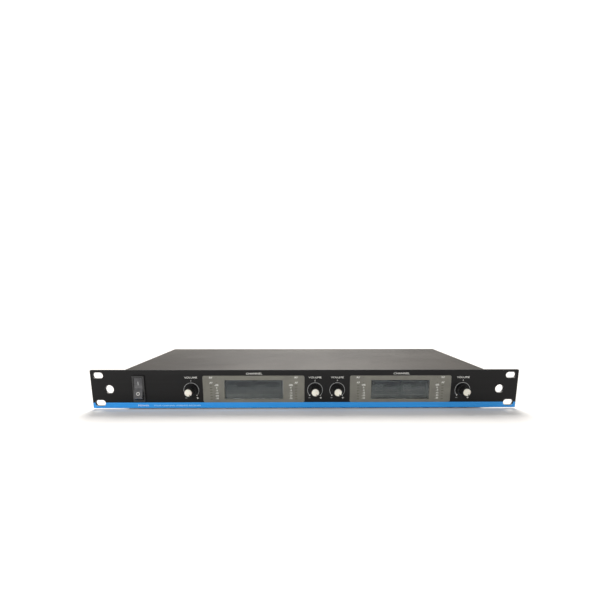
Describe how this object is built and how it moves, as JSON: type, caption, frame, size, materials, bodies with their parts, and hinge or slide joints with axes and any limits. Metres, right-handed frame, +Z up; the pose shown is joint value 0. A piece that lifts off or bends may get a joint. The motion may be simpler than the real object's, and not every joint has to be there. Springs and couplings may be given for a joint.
{
  "type": "wireless microphone receiver",
  "caption": "Rack receiver one unit high: wide panel with slotted ears, display windows, ribbed knobs and a rocker; shallow case with rear antenna, output and power sockets.",
  "frame": {"origin": "under the middle of the whole object, on the surface that its feet stand on", "axes": "+X to the right as seen from the front, +Y from the front panel to the rear sockets, +Z up"},
  "size_m": [0.4826, 0.214, 0.0455],
  "materials": {
    "panel_black": "black anodised, fine horizontal brushing",
    "zinc": "zinc plated",
    "lens_smoke": "smoked acrylic, printed on the back",
    "tinplate": "tinned sheet",
    "lcd_glass": "dark liquid crystal cell",
    "light_guide": "white moulding",
    "led_plastic": "tinted epoxy",
    "circuit_board": "green solder mask on glass epoxy",
    "pot_case": "phenolic and plated steel",
    "shaft_steel": "turned",
    "knob_black": "satin moulding, ribbed",
    "cap_white": "cream white",
    "switch_black": "moulded",
    "rocker_grey": "moulded, semi-gloss",
    "contact_brass": "plated contact metal",
    "case_paint": "charcoal powder coat",
    "cover_paint": "dark warm grey satin powder coat",
    "screw_steel": "bright zinc",
    "foot_rubber": "moulded",
    "nickel": "nickel plated brass",
    "ptfe": "white dielectric",
    "xlr_black": "glass filled, satin",
    "pin_silver": "silver plated",
    "chip_black": "moulded package",
    "capacitor": "sleeved can",
    "lead_black": "insulated lead",
    "ribbon_grey": "flat cable"
  },
  "bodies": {
    "chassis": {"front_panel": "panel_black", "panel_fixings": "zinc", "display_lens_1": "lens_smoke", "display_lens_2": "lens_smoke", "lcd_frames": "tinplate", "lcd_glasses": "lcd_glass", "lcd_backlights": "light_guide", "meter_leds": "led_plastic", "display_board": "circuit_board", "volume_pots": "pot_case", "pot_nuts": "zinc", "switch_housing": "switch_black", "switch_terminals": "contact_brass", "chassis_base": "case_paint", "sub_panel": "case_paint", "rear_panel": "case_paint", "top_cover": "cover_paint", "cover_screws": "screw_steel", "rubber_feet": "foot_rubber", "foot_screws": "screw_steel", "antenna_sockets": "nickel", "antenna_washers": "nickel", "antenna_nuts": "nickel", "antenna_insulators": "ptfe", "antenna_contacts": "contact_brass", "xlr_housing_1": "xlr_black", "xlr_housing_2": "xlr_black", "xlr_housing_3": "xlr_black", "xlr_housing_4": "xlr_black", "xlr_pins": "pin_silver", "xlr_screws": "screw_steel", "mix_jack_body": "xlr_black", "mix_jack_ferrule": "nickel", "mix_jack_nut": "xlr_black", "mix_jack_contacts": "contact_brass", "dc_jack_body": "xlr_black", "dc_jack_pin": "pin_silver", "main_board": "circuit_board", "board_standoffs": "zinc", "board_screws": "screw_steel", "shield_cans": "tinplate", "board_chips": "chip_black", "filter_capacitors": "capacitor", "inner_leads": "lead_black", "ribbon_cable": "ribbon_grey"},
    "knob_1": {"pot_shaft_1": "shaft_steel", "volume_knob_1": "knob_black", "knob_cap_1": "cap_white"},
    "knob_2": {"pot_shaft_2": "shaft_steel", "volume_knob_2": "knob_black", "knob_cap_2": "cap_white"},
    "knob_3": {"pot_shaft_3": "shaft_steel", "volume_knob_3": "knob_black", "knob_cap_3": "cap_white"},
    "knob_4": {"pot_shaft_4": "shaft_steel", "volume_knob_4": "knob_black", "knob_cap_4": "cap_white"},
    "rocker": {"switch_rocker": "rocker_grey", "switch_plunger": "light_guide"},
    "contact_arm": {"switch_contact_arm": "contact_brass"}
  },
  "joints": [
    {"name": "volume_1", "type": "hinge", "parent": "chassis", "child": "knob_1", "pos_m": [-0.1289, -0.093, 0.0223], "axis": [0, -1, 0], "range_deg": [0, 300]},
    {"name": "volume_2", "type": "hinge", "parent": "chassis", "child": "knob_2", "pos_m": [0.011, -0.093, 0.0223], "axis": [0, -1, 0], "range_deg": [0, 300]},
    {"name": "volume_3", "type": "hinge", "parent": "chassis", "child": "knob_3", "pos_m": [0.0361, -0.093, 0.0223], "axis": [0, -1, 0], "range_deg": [0, 300]},
    {"name": "volume_4", "type": "hinge", "parent": "chassis", "child": "knob_4", "pos_m": [0.1787, -0.093, 0.0223], "axis": [0, -1, 0], "range_deg": [0, 300]},
    {"name": "power_rocker", "type": "hinge", "parent": "chassis", "child": "rocker", "pos_m": [-0.1876, -0.0915, 0.02435], "axis": [1, 0, 0], "range_deg": [0, 24]},
    {"name": "contact_tilt", "type": "hinge", "parent": "chassis", "child": "contact_arm", "pos_m": [-0.1876, -0.08165, 0.02435], "axis": [1, 0, 0], "range_deg": [-12, 0]}
  ],
  "couplings": [
    {"joint": "contact_tilt", "follows": "power_rocker", "ratio": -0.5}
  ]
}
